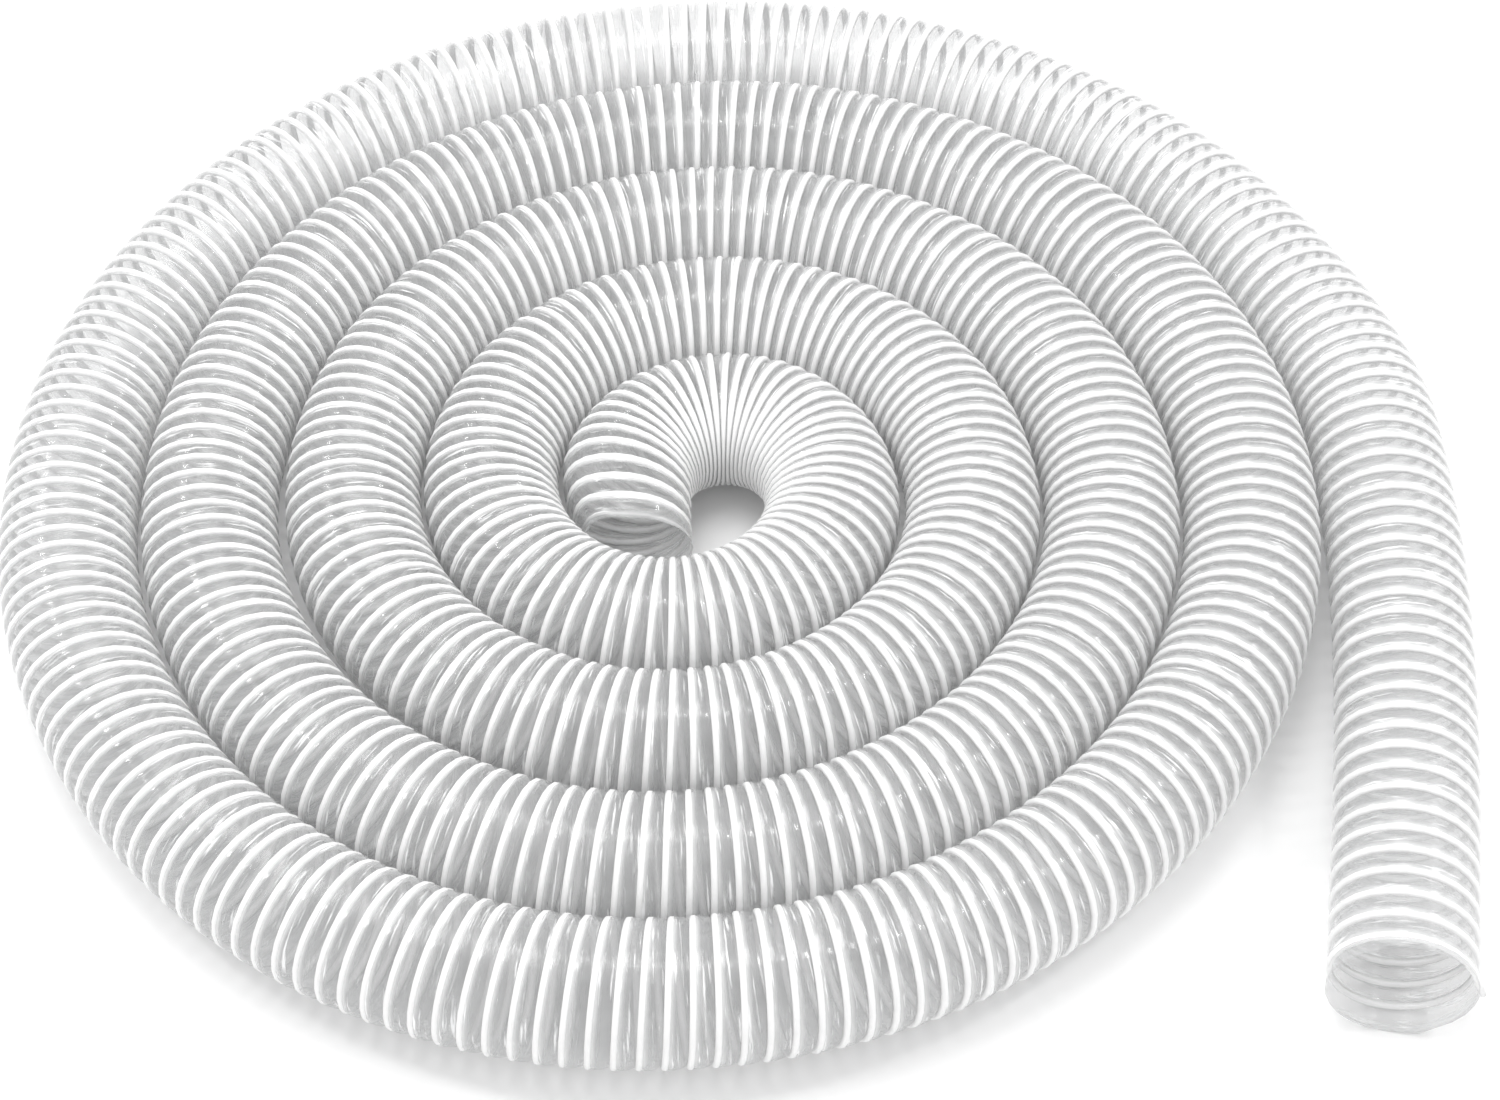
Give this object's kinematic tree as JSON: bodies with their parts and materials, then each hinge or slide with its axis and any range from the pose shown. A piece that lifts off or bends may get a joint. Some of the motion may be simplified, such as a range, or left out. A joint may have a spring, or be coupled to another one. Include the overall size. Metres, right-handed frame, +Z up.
{
  "type": "vacuum hose",
  "caption": "Clear flexible suction hose with a white rigid helix, coiled flat in one layer, with a nearly straight free end and two bare-cut mouths.",
  "frame": {"origin": "on the floor, under the middle of the whole hose's outline", "axes": "+Z up; +X along the widest extent, towards the free leg; the outer mouth opens towards -Y"},
  "size_m": [0.7697, 0.7349, 0.072],
  "materials": {
    "clear_film": "glossy clear flexible film, slightly grey",
    "white_rod": "opaque white, satin to gloss"
  },
  "bodies": {
    "coil": {"wall_inner_end": "clear_film", "helix_inner_end": "white_rod", "wall_half_turn_1": "clear_film", "helix_half_turn_1": "white_rod", "wall_half_turn_2": "clear_film", "helix_half_turn_2": "white_rod", "wall_half_turn_3": "clear_film", "helix_half_turn_3": "white_rod", "wall_half_turn_4": "clear_film", "helix_half_turn_4": "white_rod", "wall_half_turn_5": "clear_film", "helix_half_turn_5": "white_rod", "wall_half_turn_6": "clear_film", "helix_half_turn_6": "white_rod", "wall_half_turn_7": "clear_film", "helix_half_turn_7": "white_rod", "wall_half_turn_8": "clear_film", "helix_half_turn_8": "white_rod", "wall_bend": "clear_film", "helix_bend": "white_rod"},
    "outer_end": {"wall_outer_end": "clear_film", "helix_outer_end": "white_rod"}
  },
  "joints": [
    {"name": "outer_end_swing", "type": "hinge", "parent": "coil", "child": "outer_end", "pos_m": [0.3331, 0.0925, 0.036], "axis": [0, 0, 1], "range_deg": [-1, 30], "deforming": ["wall_bend", "helix_bend"]}
  ]
}
